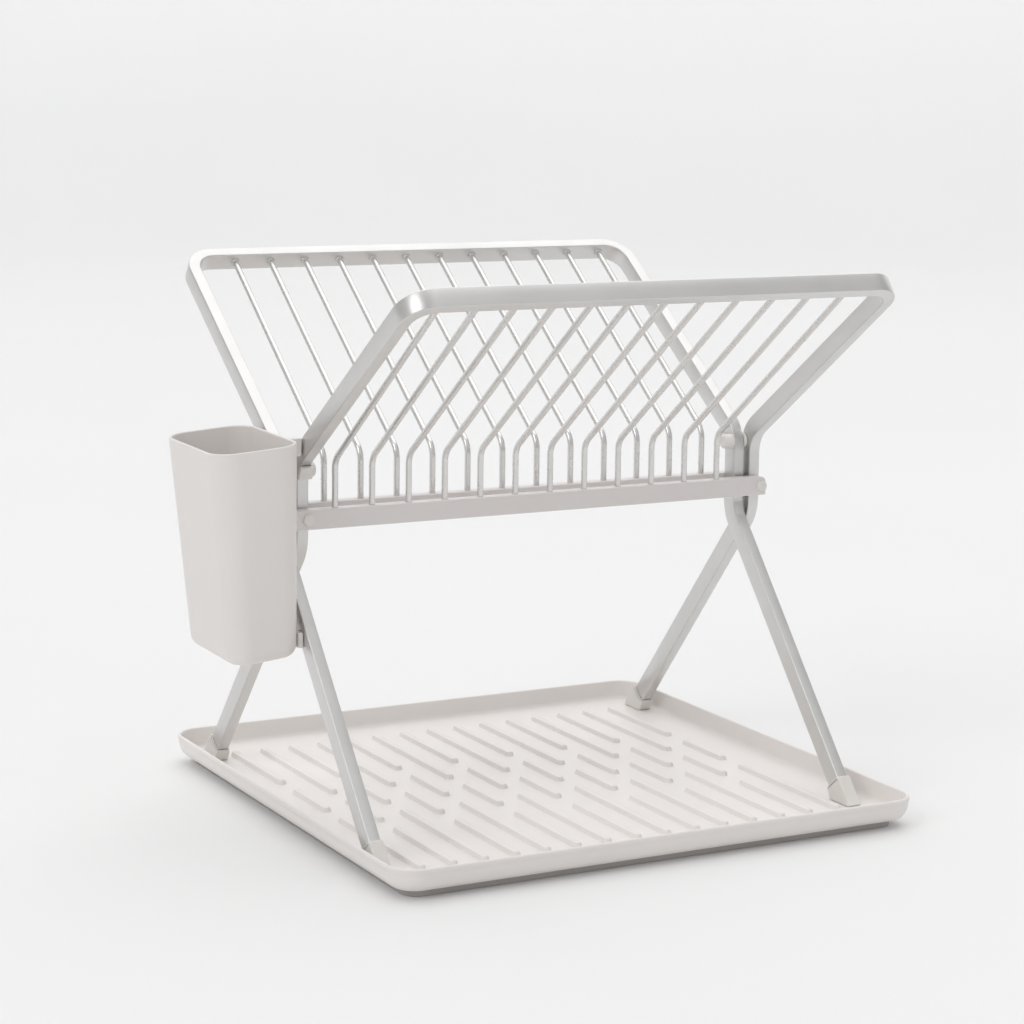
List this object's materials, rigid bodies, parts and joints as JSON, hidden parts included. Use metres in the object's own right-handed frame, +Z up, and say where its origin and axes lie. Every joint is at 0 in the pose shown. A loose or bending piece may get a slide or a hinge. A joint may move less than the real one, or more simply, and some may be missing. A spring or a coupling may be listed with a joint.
{
  "type": "dish drying rack",
  "caption": "Folding scissor-frame plate rack of bent flat tube with wire slots, standing in a ribbed drip tray, with a cutlery cup hung on one end",
  "frame": {"origin": "centre of the whole object's bounding box on the surface it stands on; the pivot line lies 29 mm to the right of it and 9 mm behind it", "axes": "+X to the right along the wide side, +Y to the back, +Z up"},
  "size_m": [0.484, 0.419, 0.4031],
  "materials": {
    "white_plastic": "satin",
    "ring_rubber": "matte",
    "frame_aluminium": "satin anodised",
    "wire_steel": "satin",
    "crossbar_plastic": "satin",
    "foot_plastic": "satin",
    "pin_steel": "satin"
  },
  "bodies": {
    "tray": {"drip_tray": "white_plastic", "tray_foot_ring": "ring_rubber"},
    "pivot_axle": {"left_pivot_pin": "pin_steel", "left_pivot_washer": "foot_plastic", "right_pivot_pin": "pin_steel", "right_pivot_washer": "foot_plastic"},
    "front_frame_body": {"front_frame": "frame_aluminium", "front_crossbar": "crossbar_plastic", "front_wire_01": "wire_steel", "front_wire_02": "wire_steel", "front_wire_03": "wire_steel", "front_wire_04": "wire_steel", "front_wire_05": "wire_steel", "front_wire_06": "wire_steel", "front_wire_07": "wire_steel", "front_wire_08": "wire_steel", "front_wire_09": "wire_steel", "front_wire_10": "wire_steel", "front_wire_11": "wire_steel", "front_wire_12": "wire_steel", "front_left_rivet": "crossbar_plastic", "front_right_rivet": "crossbar_plastic", "back_left_foot": "foot_plastic", "back_right_foot": "foot_plastic", "left_pivot_clip": "foot_plastic"},
    "back_frame_body": {"back_frame": "frame_aluminium", "back_crossbar": "crossbar_plastic", "back_wire_01": "wire_steel", "back_wire_02": "wire_steel", "back_wire_03": "wire_steel", "back_wire_04": "wire_steel", "back_wire_05": "wire_steel", "back_wire_06": "wire_steel", "back_wire_07": "wire_steel", "back_wire_08": "wire_steel", "back_wire_09": "wire_steel", "back_wire_10": "wire_steel", "back_wire_11": "wire_steel", "back_wire_12": "wire_steel", "back_left_rivet": "crossbar_plastic", "back_right_rivet": "crossbar_plastic", "front_left_foot": "foot_plastic", "front_right_foot": "foot_plastic", "right_pivot_clip": "foot_plastic"},
    "cup_body": {"cutlery_cup": "white_plastic"}
  },
  "joints": [
    {"name": "rack_rise", "type": "slide", "parent": "tray", "child": "pivot_axle", "axis": [0, 0, 1], "range_m": [0, 0.156]},
    {"name": "front_frame_fold", "type": "hinge", "parent": "pivot_axle", "child": "front_frame_body", "pos_m": [0.029, 0.009, 0.258], "axis": [-1, 0, 0], "range_deg": [0, 50]},
    {"name": "back_frame_fold", "type": "hinge", "parent": "pivot_axle", "child": "back_frame_body", "pos_m": [0.029, 0.009, 0.258], "axis": [1, 0, 0], "range_deg": [0, 50]},
    {"name": "cup_lift", "type": "slide", "parent": "pivot_axle", "child": "cup_body", "axis": [0, 0, 1], "range_m": [0, 0.06]}
  ],
  "couplings": [
    {"joint": "back_frame_fold", "follows": "front_frame_fold", "ratio": 1},
    {"joint": "rack_rise", "follows": "front_frame_fold", "m_per_rad": 0.178}
  ]
}
